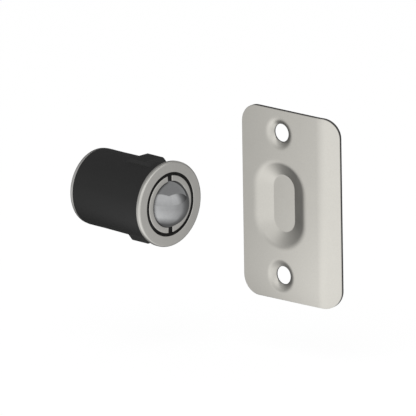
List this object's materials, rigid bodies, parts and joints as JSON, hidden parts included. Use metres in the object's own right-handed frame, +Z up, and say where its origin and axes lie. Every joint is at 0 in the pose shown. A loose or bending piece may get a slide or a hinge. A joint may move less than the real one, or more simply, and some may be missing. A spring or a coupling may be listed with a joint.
{
  "type": "ball catch",
  "caption": "Adjustable ball catch: a sprung ball in a slotted tube, in a barrel with a face ring and a lugged sleeve, with its bent-lip strike plate.",
  "frame": {"origin": "centre of the face ring's front, flush with the door's edge", "axes": "+X out of the door along the barrel, +Z up the door, and the strike plate lies on the +Y side"},
  "size_m": [0.0758, 0.0382, 0.0572],
  "materials": {
    "satin_nickel": "satin nickel plate",
    "black_plastic": "matt moulded",
    "polished_steel": "polished",
    "spring_steel": "drawn wire",
    "plug_brass": "turned"
  },
  "bodies": {
    "case": {"face_case": "satin_nickel", "sleeve": "black_plastic", "rear_cap": "satin_nickel", "strike_plate": "satin_nickel"},
    "spring_carrier": {"spring_plug": "plug_brass"},
    "adjuster": {"adjuster": "satin_nickel"},
    "spring": {"ball_spring": "spring_steel"},
    "ball": {"ball": "polished_steel"}
  },
  "joints": [
    {"name": "adjuster_travel", "type": "slide", "parent": "case", "child": "spring_carrier", "axis": [1, 0, 0], "range_m": [-0.003, 0.0015]},
    {"name": "adjuster_turn", "type": "hinge", "parent": "spring_carrier", "child": "adjuster", "pos_m": [0, 0, 0], "axis": [1, 0, 0], "range_deg": [-1085, 545]},
    {"name": "ball_press", "type": "slide", "parent": "spring_carrier", "child": "spring", "axis": [-1, 0, 0], "range_m": [0, 0.0048], "stiffness_N_per_m": 2000, "springref_m": -0.004, "deforming": ["ball_spring"]},
    {"name": "ball_roll", "type": "hinge", "parent": "spring", "child": "ball", "pos_m": [-0.00229, 0, 0], "axis": [0, 0, 1], "continuous": true}
  ],
  "couplings": [
    {"joint": "adjuster_turn", "follows": "adjuster_travel", "rad_per_m": 6283.2}
  ]
}
